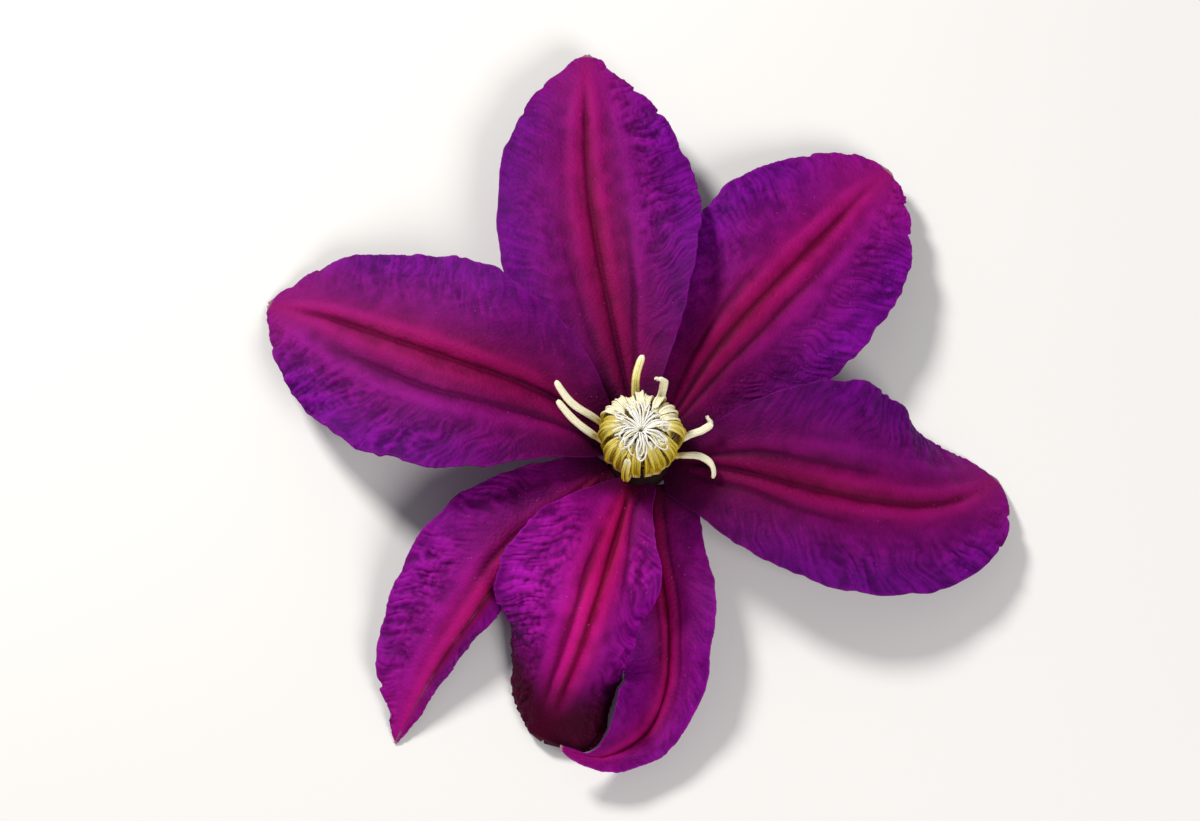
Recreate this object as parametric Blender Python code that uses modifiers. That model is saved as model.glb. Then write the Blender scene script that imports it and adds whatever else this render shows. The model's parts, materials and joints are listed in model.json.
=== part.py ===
"""A picked clematis flower, lying face up on its stalk and the tips of its tepals."""
import math

import bpy
import numpy as np

MM = 0.001

# Every size below is in millimetres, measured from the centre of the ring of tepals.
HEAD_IN_OBJECT = (1.1, -13.2, 11.0)
TEPAL_THICKNESS = 0.5
TEPAL_CLAW = 1.4            # half width where a tepal leaves the receptacle
TEPAL_BASE = 0.07           # share of a tepal by which it has reached its base width
TEPAL_TIP = 0.5             # half width of its blunt point
TEPAL_SHOULDER = 2.2        # how late the margin turns in towards the tip
TEPAL_STRIDE = 0.12         # share of the midrib over which its direction is taken
TEPAL_ROWS = 16
TEPAL_COLUMNS = 10

RECEPTACLE_PROFILE = [(0.0, 3.2), (2.4, 3.05), (3.4, 2.8), (4.2, 2.4), (4.6, 1.9),
                      (4.6, -1.5), (3.4, -3.0), (1.5, -4.5), (0.0, -4.5)]
RECEPTACLE_STEPS = 24
CARPEL_PROFILE = [(0.0, 11.0), (1.7, 11.0), (1.8, 9.0), (2.4, 5.4), (2.0, 3.8), (0.0, 3.8)]
CARPEL_STEPS = 16

STALK_RADIUS = 1.15
STALK_PATH = [(0.0, 0.0, -5.0), (0.0, 0.1, -6.0), (-0.1, 1.0, -7.8), (-0.5, 4.0, -9.3),
              (-1.3, 9.0, -9.75), (-2.9, 20.0, -9.8), (-5.3, 36.0, -9.8), (-7.0, 52.0, -9.8)]

BOSS_LEAN = 1.6             # how far the stamens lean towards the top tepal
STAMEN_THICKNESS = 0.45
OUTER_STAMENS = 16
OUTER_PATH = [(3.5, 3.2), (6.2, 5.2), (8.0, 8.4), (7.9, 11.2), (6.7, 13.2), (5.0, 13.9)]
OUTER_HALF_WIDTHS = (0.40, 0.60, 0.72, 0.70, 0.45)
INNER_STAMENS = 10
INNER_PATH = [(2.75, 3.5), (4.3, 5.4), (5.5, 8.0), (5.5, 10.4), (4.6, 12.2), (3.4, 12.8)]
INNER_HALF_WIDTHS = (0.36, 0.55, 0.68, 0.65, 0.40)
FREE_HALF_WIDTHS = (0.35, 0.50, 0.62, 0.66, 0.40)
FREE_STAMENS = {
    "free_stamen_back": [(-0.4, 4.45, 2.8), (-0.9, 9.9, 5.4), (-0.7, 13.2, 8.2), (0.4, 16.4, 9.6)],
    "free_stamen_back_hooked": [(2.4, 3.75, 2.8), (3.7, 9.3, 6.2), (4.4, 10.8, 9.2),
                                (4.7, 11.1, 11.2), (3.4, 10.9, 12.2)],
    "free_stamen_right_upper": [(4.35, 0.9, 2.8), (8.9, 2.2, 5.6), (11.7, 3.2, 6.5),
                                (13.1, 4.2, 7.5), (12.2, 5.0, 8.2)],
    "free_stamen_right_lower": [(4.35, -0.9, 2.8), (7.6, -1.6, 5.2), (10.7, -2.0, 6.0),
                                (12.8, -3.4, 5.6), (13.1, -5.4, 4.4)],
    "free_stamen_left_upper": [(-3.9, 2.1, 2.8), (-7.8, 5.3, 5.4), (-13.1, 8.2, 8.0),
                               (-15.5, 11.4, 9.2)],
    "free_stamen_left_lower": [(-4.4, 0.4, 2.8), (-8.2, 2.4, 4.9), (-12.4, 5.2, 6.6),
                               (-15.2, 8.0, 8.0)],
    "free_stamen_front": [(-1.7, -4.1, 2.8), (-2.7, -7.3, 5.6), (-3.0, -8.0, 8.6),
                          (-2.8, -7.4, 11.6), (-2.3, -5.9, 13.9)],
}

STYLES = 16
STYLE_RADIUS = 0.18
STYLE_STEPS = 9

# One tepal: its midrib from claw to tip; each side as (half width, share of the length where
# it is widest, bluntness of its end, slowness of its swelling, half width soon after the
# claw); and, at even stations from claw to tip, the rise of each side in degrees at the
# midrib (fold) and across to the margin (curl). Left and right are as seen looking along the
# midrib from above.
TEPALS = {
    "tepal_top": {
        "midrib": [(-0.6, 5.1, 0.6), (-5.6, 28.0, 3.2), (-8.3, 43.0, 3.2), (-10.0, 58.0, 1.6),
                   (-10.2, 72.0, -0.6), (-9.9, 84.8, -4.0)],
        "left": (18.0, 0.50, 0.25, 1.0, 1.4), "left_fold": (4, -2, -4, 4),
        "left_curl": (0, 0, -6, -10),
        "right": (20.5, 0.55, 0.20, 1.0, 1.4), "right_fold": (16, 10, 2, 4),
        "right_curl": (10, 2, -10, -10),
    },
    "tepal_upper_right": {
        "midrib": [(3.6, 3.7, -0.8), (13.8, 21.0, 0.2), (21.7, 30.5, 1.0), (28.9, 38.7, 1.0),
                   (35.8, 46.8, -0.8), (42.2, 54.8, -3.0), (48.2, 61.2, -5.6)],
        "left": (20.5, 0.58, 0.38, 1.0, 1.4), "left_fold": (6, 0, 2, 2),
        "left_curl": (0, -6, -10, -10),
        "right": (20.5, 0.50, 0.40, 1.0, 1.4), "right_fold": (0, -4, 2, 0),
        "right_curl": (0, -6, -14, -14),
    },
    "tepal_right": {
        "midrib": [(5.2, -0.5, 0.4), (17.1, -3.6, 3.4), (30.0, -7.4, 4.4), (43.0, -9.2, 2.2),
                   (53.2, -8.4, -1.8), (61.2, -5.0, -6.6), (66.6, -0.4, -10.7)],
        "left": (21.5, 0.50, 0.42, 1.0, 1.4), "left_fold": (18, 14, 4, 0),
        "left_curl": (0, 8, 0, -10),
        "right": (17.5, 0.56, 0.30, 1.0, 5.0), "right_fold": (6, 0, 0, 8),
        "right_curl": (0, -10, -14, 0),
    },
    "tepal_lower_right": {
        "midrib": [(2.0, -4.9, -1.0), (2.6, -16.3, -3.0), (4.4, -25.0, -5.2), (5.2, -33.5, -7.4),
                   (4.6, -41.5, -9.4), (1.4, -49.0, -10.4), (-6.6, -54.6, -8.2),
                   (-14.6, -54.6, -3.4)],
        "left": (9.7, 0.42, 0.15, 0.6, 7.5), "left_fold": (10, 10, 30, 25, 30),
        "left_curl": (0, 0, 20, 20, 0),
        "right": (11.5, 0.74, -5.00, 26.0, 7.4),
        "right_fold": (10, 10, 10, 10, 0, 42, 56, 47, 40), "right_curl": (0, 0, 10, 0, 0),
    },
    "tepal_lower": {
        "midrib": [(-1.6, -4.9, 0.4), (-4.9, -18.5, 4.0), (-7.9, -29.0, 4.2), (-10.8, -37.4, 2.2),
                   (-14.4, -44.8, -3.2), (-17.6, -51.4, -8.6)],
        "left": (11.8, 0.46, 0.88, 3.0, 5.0), "left_fold": (14, 8, -14, -18, -6),
        "left_curl": (0, -10, -62, -50, -12),
        "right": (18.6, 0.46, 0.60, 1.0, 3.0), "right_fold": (10, 14, 10, 0, 0),
        "right_curl": (0, 10, -10, -60, -50),
    },
    "tepal_lower_left": {
        "midrib": [(-5.0, -1.95, -0.4), (-12.2, -10.4, 1.6), (-21.8, -19.1, 1.4),
                   (-30.7, -30.8, -1.6), (-38.2, -41.0, -5.4), (-44.6, -51.6, -10.5)],
        "left": (5.0, 0.50, 0.10, 1.0, 3.0), "left_fold": (0, -40, -60, -50),
        "left_curl": (0, -20, -20, -10),
        "right": (17.2, 0.50, 0.05, 1.0, 6.0), "right_fold": (0, 4, 4, 0),
        "right_curl": (0, -10, -20, -10),
    },
    "tepal_left": {
        "midrib": [(-4.5, 2.6, 1.4), (-17.5, 10.9, 5.0), (-32.9, 16.8, 5.4), (-46.1, 22.6, 2.8),
                   (-59.8, 30.2, -4.0), (-70.4, 35.3, -10.7)],
        "left": (22.5, 0.46, 0.15, 1.0, 4.0), "left_fold": (12, 8, 2, 6),
        "left_curl": (0, -6, -10, -6),
        "right": (20.0, 0.52, 0.30, 1.0, 1.4), "right_fold": (24, 14, 2, 6),
        "right_curl": (0, -6, -14, -6),
    },
}

COLOURS = {
    "tepals": (0.240, 0.012, 0.200),
    "stamens": (0.560, 0.400, 0.090),
    "styles": (0.850, 0.780, 0.500),
    "carpels": (0.420, 0.440, 0.120),
    "receptacle": (0.160, 0.200, 0.050),
    "stalk": (0.180, 0.260, 0.070),
}
ROUGHNESS = 0.6


def clear_scene():
    for thing in list(bpy.data.objects):
        bpy.data.objects.remove(thing, do_unlink=True)


def material(slot):
    made = bpy.data.materials.new(slot)
    made.use_nodes = True
    shader = made.node_tree.nodes["Principled BSDF"]
    shader.inputs["Base Color"].default_value = (*COLOURS[slot], 1.0)
    shader.inputs["Roughness"].default_value = ROUGHNESS
    shader.inputs["Metallic"].default_value = 0.0
    return made


def smooth_path(points, share):
    """Points of a smooth curve through the given ones, at shares of its chord length."""
    knots = np.array(points, float)
    steps = np.diff(knots, axis=0)
    chords = np.linalg.norm(steps, axis=1)
    stops = np.concatenate([[0.0], np.cumsum(chords)]) / chords.sum()
    slopes = steps / np.diff(stops)[:, None]
    before = np.diff(stops)[:-1, None]
    after = np.diff(stops)[1:, None]
    inner = (slopes[:-1] * after + slopes[1:] * before) / (before + after)
    first = 1.5 * slopes[0] - 0.5 * inner[0]
    last = 1.5 * slopes[-1] - 0.5 * inner[-1]
    tangents = np.vstack([first, inner, last])
    share = np.clip(share, 0.0, 1.0)
    span = np.clip(np.searchsorted(stops, share, side="right") - 1, 0, len(knots) - 2)
    length = (stops[span + 1] - stops[span])[:, None]
    t = (share - stops[span])[:, None] / length
    rise = t * t * (3.0 - 2.0 * t)
    leave = (t ** 3 - 2.0 * t ** 2 + t) * length
    arrive = (t ** 3 - t ** 2) * length
    on_knots = (1.0 - rise) * knots[span] + rise * knots[span + 1]
    return on_knots + leave * tangents[span] + arrive * tangents[span + 1]


def along(values, share):
    """Values given at even stations, eased from one station to the next."""
    values = np.array(values, float)
    place = np.clip(share, 0.0, 1.0) * (len(values) - 1)
    span = np.minimum(place.astype(int), len(values) - 2)
    t = place - span
    t = t * t * (3.0 - 2.0 * t)
    return values[span] * (1.0 - t) + values[span + 1] * t


def half_width(side, share):
    """Half width of one side of a tepal, from its claw out to its widest and in to its tip."""
    width, widest, bluntness, slowness, base = side
    swelling = np.sin(np.clip(share / widest, 0.0, 1.0) * math.pi / 2.0) ** slowness
    leave = np.clip(share / TEPAL_BASE, 0.0, 1.0)
    start = TEPAL_CLAW + (base - TEPAL_CLAW) * leave * leave * (3.0 - 2.0 * leave)
    lower = start + (width - start) * swelling
    t = np.clip((share - widest) / (1.0 - widest), 0.0, 1.0)
    upper = width * np.clip(1.0 - t ** TEPAL_SHOULDER, 0.0, None) ** (1.0 - bluntness)
    return np.maximum(np.where(share < widest, lower, upper), TEPAL_TIP)


def tepal_surface(tepal, across, share):
    """Points of a tepal's middle surface; across runs -1 to 1 from its left to its right."""
    middle = smooth_path(tepal["midrib"], share)
    ahead = smooth_path(tepal["midrib"], share + TEPAL_STRIDE)
    ahead -= smooth_path(tepal["midrib"], share - TEPAL_STRIDE)
    ahead /= np.linalg.norm(ahead, axis=1)[:, None]
    outward = np.cross(ahead, (0.0, 0.0, 1.0))
    outward /= np.linalg.norm(outward, axis=1)[:, None]
    up = np.cross(outward, ahead)
    out = np.zeros_like(middle)
    for name, sign in (("left", -1.0), ("right", 1.0)):
        reach = np.clip(across * sign, 0.0, 1.0)
        width = half_width(tepal[name], share)
        fold = np.radians(along(tepal[name + "_fold"], share))
        curl = np.radians(along(tepal[name + "_curl"], share))
        curl = np.where(np.abs(curl) < 0.001, 0.001, curl)
        sideways = width / curl * (np.sin(fold + curl * reach) - np.sin(fold))
        rise = width / curl * (np.cos(fold) - np.cos(fold + curl * reach))
        out += outward * (sign * sideways)[:, None] + up * rise[:, None]
    return middle + out


def ribbon_surface(path, half_widths, sideways, across, share):
    """Points of a flat ribbon that follows a path, with its width along one direction."""
    reach = across * along(half_widths, share)
    return smooth_path(path, share) + reach[:, None] * np.array(sideways)


def sheet(name, columns, rows, place, thickness, slot):
    """A grid whose points are moved onto a surface and thickened to both sides of it."""
    bpy.ops.mesh.primitive_grid_add(x_subdivisions=columns, y_subdivisions=rows, size=2.0)
    made = bpy.context.active_object
    made.name = name
    count = len(made.data.vertices)
    flat = np.empty(count * 3)
    made.data.vertices.foreach_get("co", flat)
    flat = flat.reshape(count, 3)
    share = (flat[:, 1] + 1.0) / 2.0
    share = share * (1.3 - 0.3 * share)
    points = (place(flat[:, 0], share) + HEAD_IN_OBJECT) * MM
    made.data.vertices.foreach_set("co", points.ravel())
    solid = made.modifiers.new("thickness", "SOLIDIFY")
    solid.thickness = thickness * MM
    solid.offset = 0.0
    solid.use_even_offset = True
    return finish(made, slot)


def turned(name, profile, steps, slot):
    """A body turned about the flower's axis from an outline drawn from its top to its foot."""
    mesh = bpy.data.meshes.new(name)
    points = [(radius * MM, 0.0, height * MM) for radius, height in profile]
    mesh.from_pydata(points, [(k, k + 1) for k in range(len(points) - 1)], [])
    made = bpy.data.objects.new(name, mesh)
    made.location = [value * MM for value in HEAD_IN_OBJECT]
    bpy.context.scene.collection.objects.link(made)
    screw = made.modifiers.new("turning", "SCREW")
    screw.steps = steps
    screw.render_steps = steps
    screw.use_merge_vertices = True
    screw.merge_threshold = 0.00001
    return finish(made, slot)


def rod(name, path, stations, radius, slot):
    """A round rod with closed ends along a smooth path."""
    points = smooth_path(path, np.linspace(0.0, 1.0, stations))
    line = bpy.data.curves.new(name, "CURVE")
    line.dimensions = "3D"
    line.bevel_depth = radius * MM
    line.bevel_resolution = 2
    line.use_fill_caps = True
    spline = line.splines.new("POLY")
    spline.points.add(stations - 1)
    for knot, point in zip(spline.points, points):
        knot.co = (*((point + HEAD_IN_OBJECT) * MM), 1.0)
    made = bpy.data.objects.new(name, line)
    bpy.context.scene.collection.objects.link(made)
    return finish(made, slot)


def finish(made, slot):
    made.data.materials.append(MATERIALS[slot])
    if made.type == "MESH":
        made.data.shade_smooth()
    for holder in list(made.users_collection):
        holder.objects.unlink(made)
    FLOWER.objects.link(made)
    return made


def add_tepals():
    for name, tepal in TEPALS.items():
        def place(across, share, tepal=tepal):
            return tepal_surface(tepal, across, share)
        sheet(name, TEPAL_COLUMNS, TEPAL_ROWS, place, TEPAL_THICKNESS, "tepals")


def leaning(radius, height, angle):
    """A point of the boss, which leans towards the top tepal as it rises."""
    lean = BOSS_LEAN * min(1.0, max(0.0, (height - 3.0) / 5.0))
    return (radius * math.cos(angle), radius * math.sin(angle) + lean, height)


def add_ring(name, count, first_angle, profile, half_widths):
    """A ring of stamens that stand round the carpels and bend in at their tops."""
    for number in range(count):
        angle = first_angle + 2.0 * math.pi * number / count
        path = [leaning(radius, height, angle) for radius, height in profile]
        sideways = (math.sin(angle), -math.cos(angle), 0.0)

        def place(across, share, path=path, sideways=sideways):
            return ribbon_surface(path, half_widths, sideways, across, share)
        sheet(f"{name}_{number + 1:02d}", 1, 10, place, STAMEN_THICKNESS, "stamens")


def add_free_stamens():
    for name, path in FREE_STAMENS.items():
        run_x = path[-2][0] - path[0][0]
        run_y = path[-2][1] - path[0][1]
        run = math.hypot(run_x, run_y)
        sideways = (run_y / run, -run_x / run, 0.0)

        def place(across, share, path=path, sideways=sideways):
            return ribbon_surface(path, FREE_HALF_WIDTHS, sideways, across, share)
        sheet(name, 1, 10, place, STAMEN_THICKNESS, "stamens")


def add_styles():
    """White styles that rise from the carpels, arch outwards and hang over the stamens."""
    for number in range(STYLES):
        angle = 2.0 * math.pi * (number + 0.5) / STYLES
        front = max(0.0, -math.sin(angle)) ** 3
        reach = 4.0 + 1.0 * (number % 2) + 1.6 * front
        drop = 0.4 + 0.4 * front
        root = 1.45 - 0.5 * (number % 2)
        profile = [(root, 11.4), (root + 0.1, 13.4), (0.45 * reach, 15.3),
                   (0.75 * reach, 15.8), (reach, 15.5 - drop)]
        path = [leaning(radius, height, angle) for radius, height in profile]
        rod(f"style_{number + 1:02d}", path, STYLE_STEPS, STYLE_RADIUS, "styles")


clear_scene()
FLOWER = bpy.data.collections.new("clematis_flower")
bpy.context.scene.collection.children.link(FLOWER)
MATERIALS = {slot: material(slot) for slot in COLOURS}
turned("receptacle", RECEPTACLE_PROFILE, RECEPTACLE_STEPS, "receptacle")
turned("carpels", CARPEL_PROFILE, CARPEL_STEPS, "carpels").location.y += BOSS_LEAN * 0.4 * MM
rod("stalk", STALK_PATH, 20, STALK_RADIUS, "stalk")
add_tepals()
add_ring("outer_stamen", OUTER_STAMENS, 0.1, OUTER_PATH, OUTER_HALF_WIDTHS)
add_ring("inner_stamen", INNER_STAMENS, 0.3, INNER_PATH, INNER_HALF_WIDTHS)
add_free_stamens()
add_styles()
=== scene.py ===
import json
import math

import bpy
import numpy as np
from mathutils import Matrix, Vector

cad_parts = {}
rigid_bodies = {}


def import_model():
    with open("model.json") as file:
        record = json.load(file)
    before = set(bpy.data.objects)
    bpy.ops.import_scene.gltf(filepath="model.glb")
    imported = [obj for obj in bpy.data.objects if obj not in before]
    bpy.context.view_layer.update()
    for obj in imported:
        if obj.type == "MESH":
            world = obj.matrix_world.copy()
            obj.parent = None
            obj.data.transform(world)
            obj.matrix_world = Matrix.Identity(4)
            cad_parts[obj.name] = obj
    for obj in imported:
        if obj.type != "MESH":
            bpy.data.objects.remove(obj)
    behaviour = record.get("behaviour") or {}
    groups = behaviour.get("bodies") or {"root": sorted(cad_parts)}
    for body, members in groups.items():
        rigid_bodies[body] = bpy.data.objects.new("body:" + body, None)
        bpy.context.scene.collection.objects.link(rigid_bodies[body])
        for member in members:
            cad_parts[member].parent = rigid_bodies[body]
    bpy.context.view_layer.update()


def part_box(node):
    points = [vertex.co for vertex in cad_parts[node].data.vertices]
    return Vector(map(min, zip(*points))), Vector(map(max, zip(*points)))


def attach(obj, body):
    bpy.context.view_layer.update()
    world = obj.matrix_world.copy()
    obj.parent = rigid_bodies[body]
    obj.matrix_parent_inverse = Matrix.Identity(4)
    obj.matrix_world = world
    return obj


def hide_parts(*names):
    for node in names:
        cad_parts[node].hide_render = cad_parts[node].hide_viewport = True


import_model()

# ---- The camera ----
# It stands in front of the flower and looks steeply down into its face, the way one looks at
# a flower on a table. The head's centre is found from the receptacle under it.

MM = 0.001
receptacle_low, receptacle_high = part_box("receptacle")
head = np.array([(receptacle_low[0] + receptacle_high[0]) / 2,
                 (receptacle_low[1] + receptacle_high[1]) / 2,
                 receptacle_high[2] - 3.2 * MM])
view_height = math.radians(68.0)
view_back = np.array([0.0, -math.cos(view_height), math.sin(view_height)])
view_aim = head + np.array([-7.4, 9.5, 0.0]) * MM
view_distance = 0.75
view_width = 0.222
eye = bpy.data.cameras.new("camera")
eye.sensor_width = 36.0
eye.lens = eye.sensor_width * view_distance / view_width
camera = bpy.data.objects.new("camera", eye)
camera.location = view_aim + view_back * view_distance
camera.rotation_euler = (math.pi / 2 - view_height, 0.0, 0.0)
bpy.context.scene.collection.objects.link(camera)
bpy.context.scene.camera = camera

# ---- The surface it lies on and the light ----
# A plain pale studio floor, one large soft lamp high on the left, a weaker one on the right
# and an even pale surround. None of it belongs to the flower.


class Paint:
    """A finish while it is mixed: node() adds one node and hands back one of its outputs."""

    def __init__(self, name):
        self.material = bpy.data.materials.new(name)
        self.material.use_nodes = True
        self.tree = self.material.node_tree
        self.shader = self.tree.nodes["Principled BSDF"]

    def node(self, kind, settings=None, sockets=None, output=0):
        made = self.tree.nodes.new(kind)
        for key, value in (settings or {}).items():
            setattr(made, key, value)
        for key, value in (sockets or {}).items():
            self.feed(made.inputs[key], value)
        return Tone(self, made.outputs[output])

    def feed(self, socket, value):
        if isinstance(value, Tone):
            self.tree.links.new(value.socket, socket)
        elif isinstance(value, tuple) and len(value) == 3 and socket.type == "RGBA":
            socket.default_value = (*value, 1.0)
        else:
            socket.default_value = value

    def set(self, **values):
        for key, value in values.items():
            socket = key.replace("_", " ").title().replace("Ior", "IOR")
            self.feed(self.shader.inputs[socket], value)

    def attribute(self, name):
        return self.node("ShaderNodeAttribute", {"attribute_name": name}, None, "Fac")

    def place(self):
        return self.node("ShaderNodeTexCoord", None, None, "Object")

    def noise(self, size, detail=2.0, rough=0.5):
        sockets = {"Vector": self.place(), "Scale": 1.0 / size, "Detail": detail,
                   "Roughness": rough}
        return self.node("ShaderNodeTexNoise", None, sockets)

    def mix(self, first, second, share):
        settings = {"data_type": "RGBA", "clamp_factor": True}
        return self.node("ShaderNodeMix", settings, {0: share, 6: first, 7: second}, 2)

    def step(self, value, low, high):
        settings = {"interpolation_type": "SMOOTHSTEP"}
        return self.node("ShaderNodeMapRange", settings, {0: value, 1: low, 2: high})

    def bump(self, height, depth, under=None):
        sockets = {"Height": height, "Distance": depth, "Strength": 1.0}
        if under is not None:
            sockets["Normal"] = under
        return self.node("ShaderNodeBump", None, sockets)


class Tone:
    """One output of a finish, so that sums on it are written as plain expressions."""

    def __init__(self, paint, socket):
        self.paint = paint
        self.socket = socket

    def sum(self, operation, first, second=0.0):
        settings = {"operation": operation}
        return self.paint.node("ShaderNodeMath", settings, {0: first, 1: second})

    def __add__(self, other):
        return self.sum("ADD", self, other)

    def __sub__(self, other):
        return self.sum("SUBTRACT", self, other)

    def __rsub__(self, other):
        return self.sum("SUBTRACT", other, self)

    def __mul__(self, other):
        return self.sum("MULTIPLY", self, other)

    def __abs__(self):
        return self.sum("ABSOLUTE", self)

    __radd__ = __add__
    __rmul__ = __mul__


def deselect():
    for thing in bpy.context.view_layer.objects:
        thing.select_set(False)


deselect()
bpy.ops.mesh.primitive_plane_add(size=6.0, location=(0.0, 0.0, 0.0))
floor = bpy.context.active_object
floor.name = "studio_floor"
floor.data.transform(floor.matrix_world)
floor.matrix_world.identity()
plain = Paint("pale_floor")
plain.set(base_color=(0.80, 0.79, 0.77), roughness=0.75)
floor.data.materials.append(plain.material)

world = bpy.data.worlds.new("surround")
world.use_nodes = True
world.node_tree.nodes["Background"].inputs["Color"].default_value = (0.93, 0.95, 1.0, 1.0)
world.node_tree.nodes["Background"].inputs["Strength"].default_value = 0.24
bpy.context.scene.world = world


def add_lamp(name, place, aim, size, power, colour):
    lamp = bpy.data.lights.new(name, "AREA")
    lamp.shape = "DISK"
    lamp.size = size
    lamp.energy = power
    lamp.color = colour
    made = bpy.data.objects.new(name, lamp)
    made.location = place
    made.rotation_euler = (Vector(place) - Vector(aim)).to_track_quat("Z", "Y").to_euler()
    bpy.context.scene.collection.objects.link(made)


add_lamp("key_lamp", (-0.40, 0.42, 0.52), (0.0, 0.0, 0.01), 0.20, 5.8, (1.0, 0.98, 0.95))
add_lamp("fill_lamp", (0.36, -0.52, 0.58), (0.0, 0.0, 0.01), 0.40, 4.2, (1.0, 0.98, 0.96))
bpy.context.scene.view_settings.view_transform = "Standard"

# ---- The tepals ----
# Seven coloured sepals, each a soft velvety sheet that grows from the receptacle by a narrow
# claw: three grooved veins along a red bar, fine cross wrinkles beyond them, a thin ruffled
# margin and a recurved point. Each one is a grid laid over the curved sheet and thickened.

tepal_thickness = 0.26
tepal_claw = 2.3
tepal_tip = 0.4
brightest_tone = 1.3
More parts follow.
